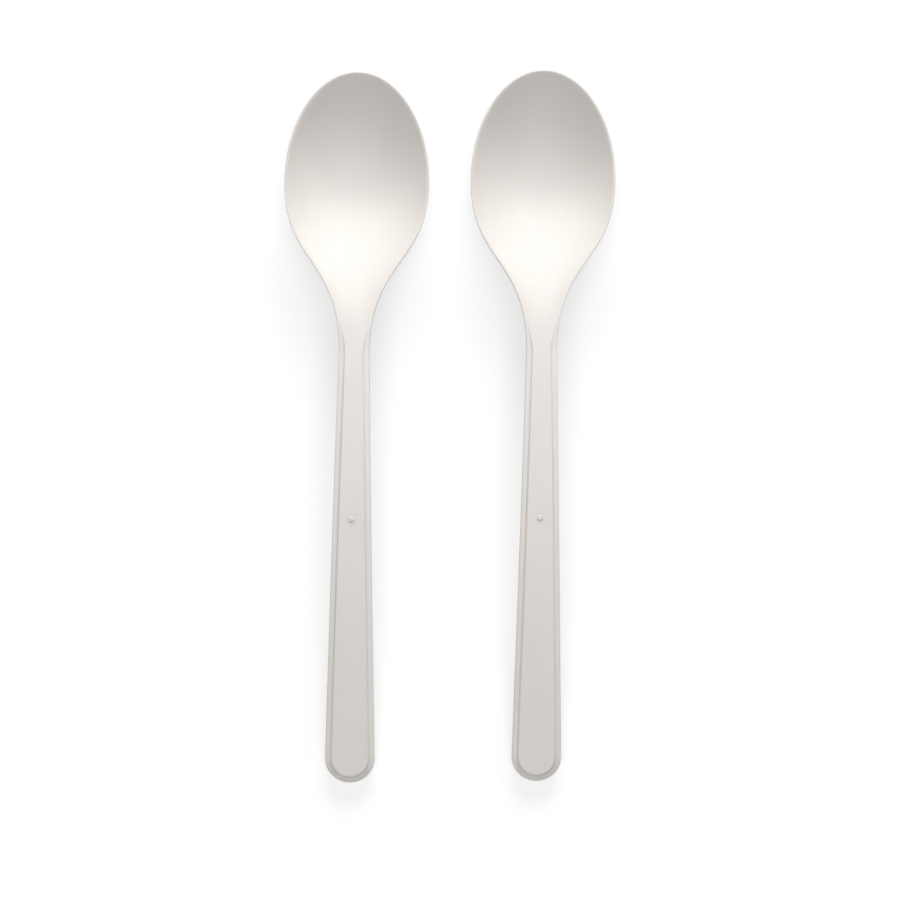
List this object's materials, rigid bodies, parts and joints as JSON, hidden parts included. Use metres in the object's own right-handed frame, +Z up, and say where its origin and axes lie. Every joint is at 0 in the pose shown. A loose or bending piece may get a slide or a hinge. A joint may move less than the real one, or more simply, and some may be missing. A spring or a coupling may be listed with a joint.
{
  "type": "disposable plastic spoon pack",
  "caption": "Disposable white plastic spoons lying side by side, each moulded in one piece with an oval bowl, a slim neck and a handle with a flat raised panel, for eating and stirring.",
  "frame": {"origin": "centre of the pack's box, on the surface that it lies on", "axes": "+Z up out of the bowls, +Y along the spoons towards the tips of the bowls, +X to the right-hand spoon"},
  "size_m": [0.0766, 0.1654, 0.0119],
  "materials": {
    "spoon_plastic": "semi-gloss warm white"
  },
  "bodies": {
    "root": {"left_spoon": "spoon_plastic", "right_spoon": "spoon_plastic"}
  },
  "joints": []
}
